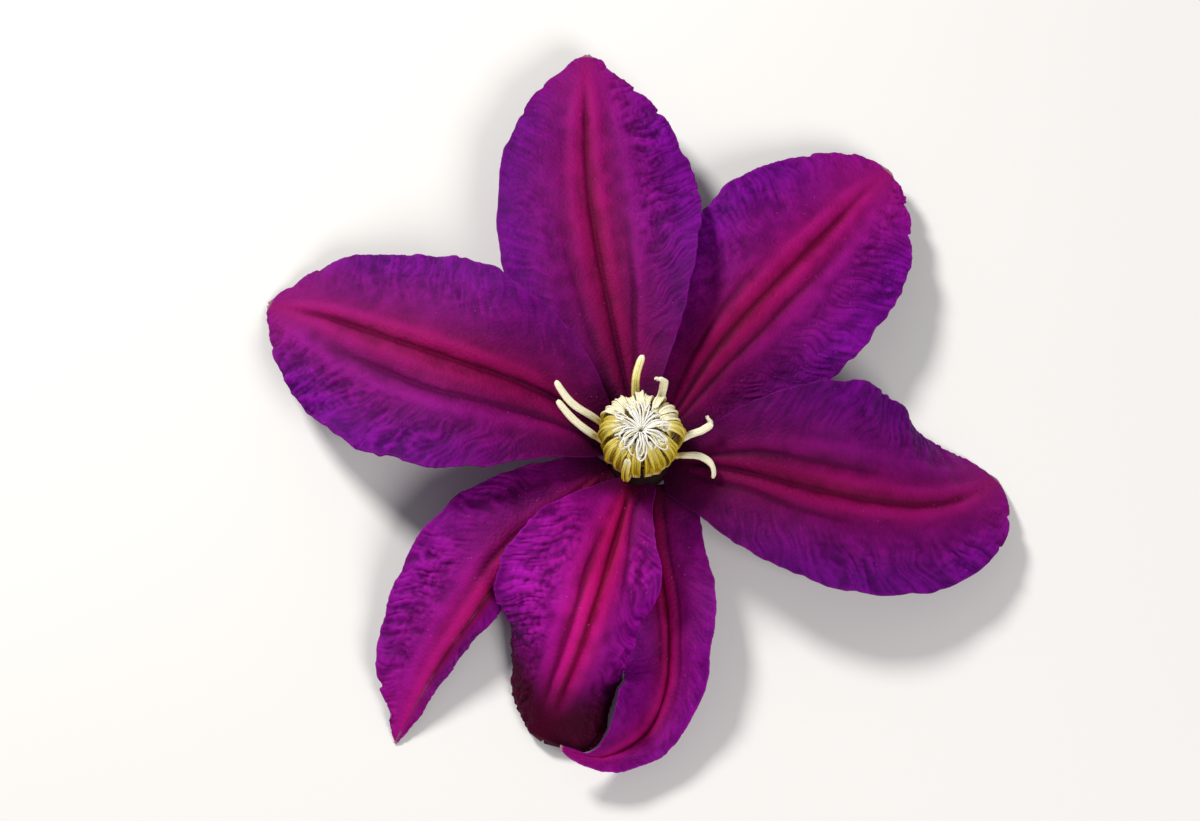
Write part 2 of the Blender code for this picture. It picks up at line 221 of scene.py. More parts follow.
# Lengths are in mm from the head. A side is its half width, the share of the length where that
# is reached, how blunt it ends, how slowly it swells and its width beside the claw. Folds and
# curls are in degrees. Veins are place, depth, spread, start and end, ridges place, height and
# spread, and nicks place, depth and spread. Tone and dark_end paint in how much light reaches a
# tepal and its tip, and cool is how violet it is. The claws, and the right sides of the right and
# lower right tepals beside them, are wider than in the CAD, so that less floor shows there.
tepals = {
    "tepal_top": {
        "midrib": [(-0.6, 5.1, 0.6), (-5.6, 28.0, 3.2), (-8.3, 43.0, 3.2), (-10.0, 58.0, 1.6),
                   (-10.2, 72.0, -0.6), (-9.9, 84.8, -4.0)],
        "left": (18.0, 0.50, 0.25, 1.0, 1.4), "left_fold": (4, -2, -4, 4),
        "left_curl": (0, 0, -6, -10),
        "right": (20.5, 0.55, 0.20, 1.0, 1.4), "right_fold": (16, 10, 2, 4),
        "right_curl": (10, 2, -10, -10),
        "veins": [(0.0, 0.34, 0.55, 0.0, 0.97), (0.30, 0.30, 0.60, 0.0, 0.55),
                  (-0.33, 0.12, 0.70, 0.0, 0.6)],
        "ridges": [(0.12, 0.30, 1.0), (-0.17, 0.26, 1.2), (0.40, 0.22, 1.3)],
        "crumple": (0.55, 1.15, 0.42), "dark_end": 0.0, "tone": 0.72, "cool": 1,
        "nicks": [(0.955, 0.35, 0.018), (0.90, 0.10, 0.008), (0.83, 0.06, 0.007)],
    },
    "tepal_upper_right": {
        "midrib": [(3.6, 3.7, -0.8), (13.8, 21.0, 0.2), (21.7, 30.5, 1.0), (28.9, 38.7, 1.0),
                   (35.8, 46.8, -0.8), (42.2, 54.8, -3.0), (48.2, 61.2, -5.6)],
        "left": (20.5, 0.58, 0.38, 1.0, 1.4), "left_fold": (6, 0, 2, 2),
        "left_curl": (0, -6, -10, -10),
        "right": (20.5, 0.50, 0.40, 1.0, 1.4), "right_fold": (0, -4, 2, 0),
        "right_curl": (0, -6, -14, -14),
        "veins": [(0.0, 0.36, 0.55, 0.0, 0.95), (0.22, 0.26, 0.55, 0.0, 0.70),
                  (-0.24, 0.20, 0.60, 0.0, 0.60)],
        "ridges": [(0.11, 0.28, 0.9), (-0.13, 0.32, 1.0), (0.33, 0.20, 1.2)],
        "crumple": (0.70, 1.10, 0.40), "dark_end": 0.0, "tone": 0.8, "cool": 1,
        "nicks": [(0.95, 0.16, 0.010), (0.88, 0.07, 0.007)],
    },
    "tepal_right": {
        "midrib": [(5.2, -0.5, 0.4), (17.1, -3.6, 3.4), (30.0, -7.4, 4.4), (43.0, -9.2, 2.2),
                   (53.2, -8.4, -1.8), (61.2, -5.0, -6.6), (66.6, -0.4, -10.7)],
        "left": (21.5, 0.50, 0.42, 1.0, 1.4), "left_fold": (18, 14, 4, 0),
        "left_curl": (0, 8, 0, -10),
        "right": (17.5, 0.56, 0.30, 1.0, 6.4), "right_fold": (6, 0, 0, 8),
        "right_curl": (0, -10, -14, 0),
        "veins": [(0.0, 0.40, 0.60, 0.0, 0.96), (-0.26, 0.26, 0.60, 0.0, 0.66),
                  (0.26, 0.26, 0.60, 0.0, 0.60)],
        "ridges": [(0.13, 0.26, 1.0), (-0.13, 0.34, 1.0), (-0.40, 0.20, 1.2)],
        "crumple": (0.60, 0.85, 0.40), "dark_end": 0.0, "tone": 0.62, "cool": 1,
        "nicks": [(0.93, 0.10, 0.008), (0.86, 0.05, 0.006)],
    },
    "tepal_lower_right": {
        "midrib": [(2.0, -4.9, -1.0), (2.6, -16.3, -3.0), (4.4, -25.0, -5.2), (5.2, -33.5, -7.4),
                   (4.6, -41.5, -9.4), (1.4, -49.0, -10.4), (-6.6, -54.6, -8.2),
                   (-14.6, -54.6, -3.4)],
        "left": (9.7, 0.42, 0.15, 0.6, 7.5), "left_fold": (10, 10, 30, 25, 30),
        "left_curl": (0, 0, 20, 20, 0),
        "right": (11.5, 0.74, -5.00, 26.0, 8.0),
        "right_fold": (10, 10, 10, 10, 0, 42, 56, 47, 40), "right_curl": (0, 0, 10, 0, 0),
        "veins": [(0.0, 0.26, 0.40, 0.0, 0.95), (-0.25, 0.16, 0.40, 0.0, 0.7),
                  (0.22, 0.16, 0.40, 0.0, 0.6)],
        "ridges": [(0.12, 0.14, 0.7), (-0.13, 0.16, 0.7)],
        "crumple": (0.35, 0.30, 0.45), "dark_end": 0.15, "tone": 0.98, "cool": 0.45,
        "nicks": [(0.93, 0.15, 0.012)],
    },
    "tepal_lower": {
        "midrib": [(-1.6, -4.9, 0.4), (-4.9, -18.5, 4.0), (-7.9, -29.0, 4.2), (-10.8, -37.4, 2.2),
                   (-14.4, -44.8, -3.2), (-17.6, -51.4, -8.6)],
        "left": (11.8, 0.46, 0.88, 3.0, 5.0), "left_fold": (14, 8, -14, -18, -6),
        "left_curl": (0, -10, -62, -50, -12),
        "right": (18.6, 0.46, 0.60, 1.0, 3.0), "right_fold": (10, 14, 10, 0, 0),
        "right_curl": (0, 10, -10, -60, -50),
        "veins": [(0.0, 0.42, 0.50, 0.0, 0.99), (0.19, 0.34, 0.55, 0.25, 0.99),
                  (-0.35, 0.26, 0.50, 0.0, 0.55)],
        "ridges": [(0.095, 0.36, 0.8), (-0.15, 0.24, 1.0), (0.32, 0.20, 1.2)],
        "crumple": (1.25, 1.30, 0.22), "dark_end": 1.0, "tone": 1.3, "cool": 0.35,
        "nicks": [(0.80, 0.04, 0.010)],
    },
    "tepal_lower_left": {
        "midrib": [(-5.0, -1.95, -0.4), (-12.2, -10.4, 1.6), (-21.8, -19.1, 1.4),
                   (-30.7, -30.8, -1.6), (-38.2, -41.0, -5.4), (-44.6, -51.6, -10.5)],
        "left": (5.0, 0.50, 0.10, 1.0, 3.0), "left_fold": (0, -40, -60, -50),
        "left_curl": (0, -20, -20, -10),
        "right": (17.2, 0.50, 0.05, 1.0, 6.0), "right_fold": (0, 4, 4, 0),
        "right_curl": (0, -10, -20, -10),
        "veins": [(0.0, 0.24, 0.50, 0.0, 0.90), (0.20, 0.22, 0.60, 0.0, 0.60)],
        "ridges": [(0.10, 0.34, 1.0), (0.32, 0.14, 1.2)],
        "crumple": (0.70, 1.15, 0.25), "dark_end": 0.0, "tone": 0.95, "cool": 0.4,
        "nicks": [(0.935, 0.42, 0.022), (0.88, 0.12, 0.007), (0.97, 0.20, 0.008)],
    },
    "tepal_left": {
        "midrib": [(-4.5, 2.6, 1.4), (-17.5, 10.9, 5.0), (-32.9, 16.8, 5.4), (-46.1, 22.6, 2.8),
                   (-59.8, 30.2, -4.0), (-70.4, 35.3, -10.7)],
        "left": (22.5, 0.46, 0.15, 1.0, 4.0), "left_fold": (12, 8, 2, 6),
        "left_curl": (0, -6, -10, -6),
        "right": (20.0, 0.52, 0.30, 1.0, 1.4), "right_fold": (24, 14, 2, 6),
        "right_curl": (0, -6, -14, -6),
        "veins": [(0.0, 0.42, 0.60, 0.0, 0.99), (-0.30, 0.34, 0.65, 0.0, 0.78)],
        "ridges": [(0.13, 0.36, 1.1), (-0.15, 0.24, 1.2), (-0.44, 0.34, 1.3)],
        "crumple": (1.20, 0.60, 0.40), "dark_end": 0.0, "tone": 0.74, "cool": 1,
        "nicks": [(0.96, 0.18, 0.010), (0.91, 0.06, 0.006)],
    },
}


def smooth_path(points, share):
    """Points of a smooth curve through the given ones, at shares of its chord length."""
    knots = np.array(points, float)
    steps = np.diff(knots, axis=0)
    chords = np.linalg.norm(steps, axis=1)
    stops = np.concatenate([[0.0], np.cumsum(chords)]) / chords.sum()
    slopes = steps / np.diff(stops)[:, None]
    before = np.diff(stops)[:-1, None]
    after = np.diff(stops)[1:, None]
    inner = (slopes[:-1] * after + slopes[1:] * before) / (before + after)
    first = 1.5 * slopes[0] - 0.5 * inner[0]
    last = 1.5 * slopes[-1] - 0.5 * inner[-1]
    tangents = np.vstack([first, inner, last])
    share = np.clip(share, 0.0, 1.0)
    span = np.clip(np.searchsorted(stops, share, side="right") - 1, 0, len(knots) - 2)
    length = (stops[span + 1] - stops[span])[:, None]
    t = (share - stops[span])[:, None] / length
    rise = t * t * (3.0 - 2.0 * t)
    leave = (t ** 3 - 2.0 * t ** 2 + t) * length
    arrive = (t ** 3 - t ** 2) * length
    on_knots = (1.0 - rise) * knots[span] + rise * knots[span + 1]
    return on_knots + leave * tangents[span] + arrive * tangents[span + 1]


def along(values, share):
    """Values given at even stations, eased from one station to the next."""
    values = np.array(values, float)
    place = np.clip(share, 0.0, 1.0) * (len(values) - 1)
    span = np.minimum(place.astype(int), len(values) - 2)
    t = place - span
    t = t * t * (3.0 - 2.0 * t)
    return values[span] * (1.0 - t) + values[span + 1] * t


def ease(low, high, value):
    t = np.clip((value - low) / (high - low), 0.0, 1.0)
    return t * t * (3.0 - 2.0 * t)


def ripple(seed, x, y):
    """Smooth random hills between -1 and 1, one hill to each unit of x and y."""
    size = 64
    table = np.random.default_rng(seed).uniform(-1.0, 1.0, (size, size))
    column = np.floor(x).astype(int)
    row = np.floor(y).astype(int)
    s = ease(0.0, 1.0, x - column)
    t = ease(0.0, 1.0, y - row)
    here, beyond = column % size, (column + 1) % size
    low, high = row % size, (row + 1) % size
    near = table[here, low] * (1 - s) + table[beyond, low] * s
    far = table[here, high] * (1 - s) + table[beyond, high] * s
    return near * (1 - t) + far * t


def half_width(side, share):
    width, widest, bluntness, slowness, base = side
    swelling = np.sin(np.clip(share / widest, 0.0, 1.0) * math.pi / 2.0) ** slowness
    start = tepal_claw + (base - tepal_claw) * ease(-0.02, 0.03, share)
    lower = start + (width - start) * swelling
    t = np.clip((share - widest) / (1.0 - widest), 0.0, 1.0)
    upper = width * np.clip(1.0 - t ** 2.2, 0.0, None) ** (1.0 - bluntness)
    return np.maximum(np.where(share < widest, lower, upper), tepal_tip)


def tepal_width(tepal, across, share):
    return np.where(across < 0, half_width(tepal["left"], share),
                    half_width(tepal["right"], share))


def tepal_sheet(tepal, across, share):
    """The smooth sheet of a tepal, before veins, wrinkles and ruffles."""
    middle = smooth_path(tepal["midrib"], share)
    ahead = smooth_path(tepal["midrib"], share + 0.12) - smooth_path(tepal["midrib"], share - 0.12)
    ahead /= np.linalg.norm(ahead, axis=1)[:, None]
    outward = np.cross(ahead, (0.0, 0.0, 1.0))
    outward /= np.linalg.norm(outward, axis=1)[:, None]
    up = np.cross(outward, ahead)
    out = np.zeros_like(middle)
    for name, sign in (("left", -1.0), ("right", 1.0)):
        reach = np.clip(across * sign, 0.0, None)
        width = half_width(tepal[name], share)
        fold = np.radians(along(tepal[name + "_fold"], share))
        curl = np.radians(along(tepal[name + "_curl"], share))
        curl = np.where(np.abs(curl) < 0.001, 0.001, curl)
        sideways = width / curl * (np.sin(fold + curl * reach) - np.sin(fold))
        rise = width / curl * (np.cos(fold) - np.cos(fold + curl * reach))
        out += outward * (sign * sideways)[:, None] + up * rise[:, None]
    return middle + out


def tepal_relief(seed, tepal, across, share):
    """Height in mm of the veins and wrinkles, and of the slow waves and ruffles under them."""
    length = np.linalg.norm(np.diff(np.array(tepal["midrib"]), axis=0), axis=1).sum()
    ahead = share * length
    sideways = across * tepal_width(tepal, across, share)
    reach = np.abs(sideways)
    edge = np.abs(across)
    body = ease(0.0, 0.10, share) * (1.0 - ease(0.84, 0.99, share))
    drift = 0.35 * ripple(seed + 14, ahead / 9.0, ahead * 0.0)
    relief = np.zeros_like(across)
    for place, depth, spread, begin, end in tepal["veins"]:
        side = half_width(tepal["right" if place > 0 else "left"], share)
        middle = place * side + drift * min(1.0, abs(place) * 8.0)
        line = np.exp(-((sideways - middle) / spread) ** 2)
        relief -= depth * line * ease(begin - 0.02, begin + 0.10, share) * (
            1.0 - ease(end - 0.22, end, share))
    for place, height, spread in tepal["ridges"]:
        side = half_width(tepal["right" if place > 0 else "left"], share)
        swell = 0.75 + 0.25 * ripple(seed + 15, ahead / 6.0, ahead * 0.0 + place * 9.0)
        relief += height * swell * np.exp(-((sideways - place * side) / spread) ** 2)
    relief *= body
    crumple = tepal["crumple"][0] * (across < 0) + tepal["crumple"][1] * (across >= 0)
    start = tepal["crumple"][2]
    slant = ahead - 0.50 * reach
    bend = 1.6 * ripple(seed + 1, ahead / 5.0, sideways / 4.0)
    cross = ripple(seed + 2, (slant + bend) / 1.05, sideways / 3.0)
    cross += 0.55 * ripple(seed + 3, (slant + bend) / 0.60, sideways / 1.7)
    pucker = ripple(seed + 5, (ahead - 0.9 * reach) / 1.6, (reach + 0.3 * ahead) / 1.0)
    pucker = np.sign(pucker) * np.abs(pucker) ** 1.4
    patch = np.clip(0.55 + 0.75 * ripple(seed + 4, ahead / 9.0, sideways / 6.0), 0.12, 1.2)
    outer = ease(0.26, 0.55, edge) * ease(start - 0.15, start + 0.15, share)
    small = ripple(seed + 18, (ahead - 0.6 * reach) / 0.75, (reach + 0.5 * ahead) / 0.62)
    relief += outer * patch * crumple * (0.18 * cross + 0.20 * pucker + 0.14 * small)
    thin = ripple(seed + 19, (slant + bend) / 0.42, sideways / 2.6)
    relief += 0.110 * thin * ease(0.30, 0.7, edge) * ease(0.10, 0.25, share) * (0.4 + crumple)
    relief += 0.030 * ripple(seed + 6, ahead / 0.9, sideways / 0.9)
    relief += 0.085 * ripple(seed + 16, ahead / 2.6, sideways / 2.0) * body
    waves = 0.50 * ripple(seed + 7, ahead / 15.0, sideways / 10.0) * ease(0.05, 0.3, share)
    waves += 0.30 * ripple(seed + 17, ahead / 6.0, sideways / 7.0) * edge * ease(0.2, 0.4, share)
    ruffle = 0.45 * ripple(seed + 8, ahead / 5.0, np.sign(across) * 3.3) * edge ** 5
    ruffle += 0.22 * ripple(seed + 9, ahead / 1.7, np.sign(across) * 5.3) * edge ** 9
    return relief, (waves + ruffle) * ease(0.04, 0.2, share)


def sheet_normals(points, rows, columns):
    """Upward directions of a grid of points, from its neighbours along and across."""
    grid = points.reshape(rows, columns, 3)
    forward = np.gradient(grid, axis=0)
    rightward = np.gradient(grid, axis=1)
    upward = np.cross(rightward, forward)
    upward /= np.maximum(np.linalg.norm(upward, axis=2), 1e-9)[:, :, None]
    return upward.reshape(-1, 3)


def add_grid(name, columns, rows):
    """A flat grid, with the index of each vertex by row and column and its two shares."""
    deselect()
    bpy.ops.mesh.primitive_grid_add(x_subdivisions=columns, y_subdivisions=rows, size=2.0)
    made = bpy.context.active_object
    made.name = name
    count = len(made.data.vertices)
    flat = np.empty(count * 3)
    made.data.vertices.foreach_get("co", flat)
    flat = flat.reshape(count, 3)
    column = np.rint((flat[:, 0] + 1.0) / 2.0 * columns).astype(int)
    row = np.rint((flat[:, 1] + 1.0) / 2.0 * rows).astype(int)
    order = np.argsort(row * (columns + 1) + column)
    return made, order


def lay_grid(made, order, points, values):
    """Moves the grid's vertices to points in mm from the head, and keeps values on them."""
    placed = np.empty_like(points)
    placed[order] = points * MM + head
    made.data.vertices.foreach_set("co", placed.ravel())
    for name, numbers in values.items():
        kept = np.empty(len(order), dtype=np.float32)
        kept[order] = numbers
        made.data.attributes.new(name, "FLOAT", "POINT").data.foreach_set("value", kept)
    made.data.update()


def thicken(made, thickness, under=0):
    solid = made.modifiers.new("thickness", "SOLIDIFY")
    solid.thickness = thickness * MM
    solid.offset = 0.0
    solid.use_even_offset = False
    solid.material_offset = under
    bpy.context.view_layer.objects.active = made
    made.select_set(True)
    bpy.ops.object.modifier_apply(modifier=solid.name)
    bpy.ops.object.shade_smooth()


def petal_paint(name, upper):
    """Velvety violet with a crimson bar; painted shade in grooves, painted highlight on crests."""
    paint = Paint(name)
    across = abs(paint.attribute("across"))
    share = paint.attribute("share")
    relief = paint.attribute("relief")
    cloud = paint.noise(11.0 * MM, 3.0, 0.55)
    fleck = paint.noise(1.1 * MM, 3.0, 0.6)
    # Painted shade and highlight: each colour is darker in the grooves and paler on the crests.
    crest_light = paint.step(relief + (fleck - 0.5) * 0.12, -0.26, 0.32)
    shift = (cloud - 0.5) * 0.22
    violet = paint.mix((0.105, 0.000, 0.160), (0.345, 0.004, 0.460), crest_light)
    purple = paint.mix((0.137, 0.000, 0.111), (0.410, 0.007, 0.330), crest_light)
    bar_groove_shade = paint.mix((0.144, 0.000, 0.008), (0.194, 0.000, 0.059), share)
    bar_crest_light = paint.mix((0.395, 0.001, 0.062), (0.580, 0.008, 0.250), share)
    bar = paint.mix(bar_groove_shade, bar_crest_light, crest_light)
    cool = paint.attribute("cool")
    outer = paint.mix(purple, violet, paint.step(across + shift, 0.38, 0.92) * cool)
    spread = 0.30 - 0.12 * share - shift * 0.5
    colour = paint.mix(bar, outer, paint.step(across - spread, -0.22, 0.24))
    # Darker wine towards the base: partly the tepal's own crimson, partly painted shade under the
    # boss.
    wine_and_base_shade = paint.mix((0.078, 0.000, 0.028), (0.241, 0.001, 0.078), crest_light)
    near_base = 1 - paint.step(share + across * 0.05, 0.10, 0.54)
    colour = paint.mix(colour, wine_and_base_shade, near_base * (0.32 + 0.52 * cool))
    # Painted shade: the claw is painted almost black for the deep shade under the boss.
    throat_shade = 1 - paint.step(share, 0.02, 0.15)
    colour = paint.mix(colour, (0.030, 0.0, 0.008), throat_shade * 0.85)
    blush = paint.step(share, 0.78, 0.99)
    colour = paint.mix(colour, (0.520, 0.008, 0.260), blush * 0.50)
    # Painted shade: the end of a tepal is darkened as far as its dark_end says.
    shaded_end = paint.attribute("shaded_end")
    colour = paint.mix(colour, (0.032, 0.0, 0.004), shaded_end)
    # Painted highlight: a paler line along the margin, where the edge catches the light.
    rim_highlight = paint.step(across, 0.970, 0.994)
    colour = paint.mix(colour, (0.400, 0.012, 0.430), rim_highlight * 0.25 * (1 - shaded_end))
    point = paint.step(share, 0.990, 0.998)
    colour = paint.mix(colour, (0.560, 0.330, 0.360), point * (1 - shaded_end))
    speck = paint.node("ShaderNodeTexVoronoi", {"feature": "F1"},
                       {"Vector": paint.place(), "Scale": 1.0 / (1.5 * MM)})
    spots = (1 - paint.step(speck, 0.03, 0.10)) * paint.step(cloud, 0.44, 0.60)
    colour = paint.mix(colour, (0.640, 0.120, 0.560), spots * 0.70)
    # Painted shade: the whole tepal is darkened by how little light its tone says reaches it.
    colour = paint.mix(colour, (0.012, 0.0, 0.014), paint.attribute("depth"))
    if not upper:
        silk = paint.step(paint.noise(0.9 * MM, 2.0), 0.3, 0.7)
        pale = paint.mix((0.150, 0.030, 0.190), (0.230, 0.075, 0.270), silk)
        rib = 1 - paint.step(across, 0.03, 0.26)
        colour = paint.mix(pale, (0.240, 0.080, 0.130), rib * 0.7)
    velvet = paint.noise(0.16 * MM, 3.0, 0.65)
    skin = paint.bump(velvet, 0.050 * MM)
    cells = paint.noise(0.55 * MM, 2.0, 0.5)
    skin = paint.bump(cells, 0.20 * MM, skin)
    paint.set(base_color=colour, roughness=0.45 + 0.20 * fleck, normal=skin,
              specular_ior_level=0.05, sheen_weight=0.03, sheen_roughness=0.40,
              sheen_tint=(0.80, 0.08, 1.0), subsurface_weight=0.08, subsurface_scale=0.6 * MM,
              subsurface_radius=(1.0, 0.25, 0.8))
    return paint.material


petal_upper = petal_paint("petal_velvet", True)
petal_under = petal_paint("petal_underside", False)
lowest = -head[2] / MM + 0.2
margin_length = 75.0
for number, (name, tepal) in enumerate(tepals.items()):
    columns, rows = ((150, 270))
    made, order = add_grid("petal" + name[5:], columns, rows)
    step_across = np.linspace(-1.0, 1.0, columns + 1)
    step_along = np.linspace(0.0, 1.0, rows + 1)
    step_along = step_along * (1.3 - 0.3 * step_along)
    share, across = (side.ravel() for side in np.meshgrid(step_along, step_across, indexing="ij"))
    seed = number * 20
    notch = 0.012 * ripple(seed + 11, share * margin_length / 1.5, np.sign(across) * 4.1)
    notch += 0.022 * ripple(seed + 12, share * margin_length / 4.5, np.sign(across) * 6.1)
    for place, depth, spread in tepal["nicks"]:
        uneven = 0.75 + 0.25 * np.sign(across)
        notch = notch - depth * uneven * np.exp(-((share - place) / spread) ** 2)
    sheet = tepal_sheet(tepal, across * (1.0 + notch * np.abs(across) ** 4), share)
    fine, slow = tepal_relief(seed, tepal, across, share)
    upward = sheet_normals(sheet, rows + 1, columns + 1)
    points = sheet + upward * (fine + slow)[:, None]
    points[:, 2] = np.maximum(points[:, 2], lowest)
    # Painted shade: the tip is darkened by dark_end, and the whole tepal by its tone.
    shaded_end = tepal["dark_end"] * ease(0.64, 0.90, share + 0.12 * (np.abs(across) - 0.4))
    values = {"across": across, "share": share, "relief": fine, "shaded_end": shaded_end * 0.96,
              "depth": np.full_like(share, 1.0 - tepal["tone"] / brightest_tone),
              "cool": np.full_like(share, tepal["cool"])}
    lay_grid(made, order, points, values)
    made.data.materials.append(petal_upper)
    made.data.materials.append(petal_under)
    thicken(made, tepal_thickness, 1)
    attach(made, "root")
    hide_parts(name)

# ---- The boss of stamens ----
# Flat cream filaments that widen into long olive-gold anthers, each with a pale line of
# pollen down both edges. They stand round the carpels, bulge and bend in at their tops.

outer_path = [(3.5, 3.2), (6.0, 5.0), (7.5, 7.9), (7.5, 10.8), (6.5, 12.9), (5.0, 13.7),
              (3.9, 13.5)]
inner_path = [(2.75, 3.5), (4.3, 5.4), (5.5, 8.0), (5.6, 10.6), (4.9, 12.6), (3.9, 13.5),
              (3.2, 13.2)]
boss_lean = 1.3


def leaning(radius, height, angle, lean=boss_lean):
    """A point of the boss, which leans towards the top tepal as it rises."""
    shift = lean * min(1.0, max(0.0, (height - 3.0) / 5.0))
    return (radius * math.cos(angle), radius * math.sin(angle) + shift, height)


def add_ribbon(name, path, widths, sideways, seed, thickness=0.34):
    """One stamen: a ribbon along its path, swollen where it is an anther, with raised lines
    of pollen and a rounded end, thickened."""
    columns, rows = ((14, 56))
    made, order = add_grid(name, columns, rows)
    step_across = np.linspace(-1.0, 1.0, columns + 1)
    step_along = 1.0 - np.linspace(1.0, 0.0, rows + 1) ** 1.3
    share, across = (side.ravel() for side in np.meshgrid(step_along, step_across, indexing="ij"))
    blunt = np.sqrt(np.clip(1.0 - (np.clip(share - 0.93, 0.0, 1.0) / 0.07) ** 2, 0.03, 1.0))
    reach = along(widths, share) * blunt * (1.0 + 0.05 * ripple(seed + 2, share * 14.0, share))
    twist = 0.35 * ripple(seed, share * 2.6, share * 0.0) * ease(0.1, 0.5, share)
    middle = smooth_path(path, share)
    sway = 0.10 * ripple(seed + 4, share * 4.0, 0.0 * share)
    middle = middle + sway[:, None] * np.array(sideways)
    points = middle + (across * reach)[:, None] * np.array(sideways)
    upward = sheet_normals(points, rows + 1, columns + 1)
    anther = ease(0.26, 0.42, share)
    rounded = 0.40 * (1.0 - across ** 2) * anther * blunt
    lines = 0.11 * np.exp(-((np.abs(across) - 0.60) / 0.13) ** 2)
    lines += 0.07 * np.exp(-(across / 0.12) ** 2)
    lines -= 0.09 * np.exp(-((np.abs(across) - 0.30) / 0.14) ** 2)
    lines *= anther
    warty = 0.030 * ripple(seed + 1, share * 90.0, across * 5.0) * anther
    height = rounded + lines + warty + twist * across * reach
    points = points + upward * height[:, None]
    values = {"across": across, "share": share, "relief": lines + warty}
    lay_grid(made, order, points, values)
    thicken(made, thickness)
    return made


def stamen_paint(name, cream):
    """Cream filament, olive-gold anther, paler along its pollen lines and at its tip."""
    paint = Paint(name)
    across = abs(paint.attribute("across"))
    share = paint.attribute("share")
    relief = paint.attribute("relief")
    cloud = paint.noise(2.2 * MM, 3.0, 0.6)
    grain = paint.noise(0.14 * MM, 2.0, 0.6)
    body = paint.mix((0.600, 0.455, 0.004), (0.930, 0.780, 0.045), cloud)
    # Painted shade: the anther is darker in the hollows beside its pollen lines.
    body = paint.mix(body, (0.260, 0.165, 0.002), (1 - paint.step(relief, -0.085, 0.020)) * 0.90)
    body = paint.mix(body, (0.450, 0.210, 0.006), paint.step(across, 0.86, 0.99) * 0.4)
    low_end = paint.step(share, 0.24, 0.34) * (1 - paint.step(share, 0.34, 0.50))
    body = paint.mix(body, (0.460, 0.220, 0.006), low_end * 0.55)
    body = paint.mix(body, (0.860, 0.740, 0.240), paint.step(share, 0.60, 0.92) * 0.70)
    pollen = paint.step(relief + (grain - 0.5) * 0.05, 0.030, 0.070)
    body = paint.mix(body, (0.980, 0.900, 0.480), pollen * 0.95)
    stem = 1 - paint.step(share, 0.24, 0.40)
    colour = paint.mix(body, (0.840, 0.720, 0.360), stem)
    tip = paint.step(share + (cloud - 0.5) * 0.14, cream, cream + 0.16)
    colour = paint.mix(colour, (0.950, 0.890, 0.640), tip)
    skin = paint.bump(grain, 0.05 * MM)
    paint.set(base_color=colour, roughness=0.42, normal=skin, specular_ior_level=0.22,
              subsurface_weight=0.10, subsurface_scale=0.5 * MM,
              subsurface_radius=(1.0, 0.7, 0.3))
    return paint.material


anther_gold = stamen_paint("anther_gold", 0.86)
anther_cream = stamen_paint("anther_cream", 0.60)
anther_pale = stamen_paint("anther_pale", 0.30)


def add_boss_ring(name, count, first_angle, profile, widths, seed, finish):
    chance = np.random.default_rng(seed)
    for number in range(count):
        angle = first_angle + 2.0 * math.pi * (number + chance.uniform(-0.18, 0.18)) / count
        back = max(0.0, math.sin(angle))
        swell = 0.975 + 0.055 * (-1) ** number + chance.uniform(-0.035, 0.035)
        swell += 0.045 * math.sin(3.0 * angle + 0.8) + 0.035 * math.sin(5.0 * angle + 2.6)
        rise = chance.uniform(-0.65, 0.35) - 0.2 * back
        sweep = -0.28 * math.cos(angle) * abs(math.sin(angle)) + chance.uniform(-0.10, 0.10)
        path = []
        for place, (radius, height) in enumerate(profile):
            up = place / (len(profile) - 1)
            path.append(leaning(radius * (1.0 + (swell - 1.0) * up), height + rise * up,
                                angle + sweep * up))
        slant = angle + chance.uniform(-0.25, 0.25)
        sideways = (math.sin(slant), -math.cos(slant), 0.0)
        made = add_ribbon(f"{name}_{number + 1:02d}", path, widths, sideways, seed + number * 3)
        pale = back > 0.35 or finish == "cream"
        made.data.materials.append(anther_cream if pale else anther_gold)
        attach(made, "root")


outer_count = 25
inner_count = 18
outer_widths = (0.40, 0.55, 0.76, 0.78, 0.70, 0.50)
inner_widths = (0.36, 0.45, 0.66, 0.70, 0.62, 0.44)
add_boss_ring("anther_outer", outer_count, 0.10, outer_path, outer_widths, 300, "gold")
add_boss_ring("anther_inner", inner_count, 0.30, inner_path, inner_widths, 500, "cream")
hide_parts(*[f"outer_stamen_{n + 1:02d}" for n in range(16)])
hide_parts(*[f"inner_stamen_{n + 1:02d}" for n in range(10)])

# ---- The stamens that stand free ----
# Seven have come away from the boss and lie out over the tepals, paler than the rest, with
# hooked tips. They are the same ribbons, each on its own path.

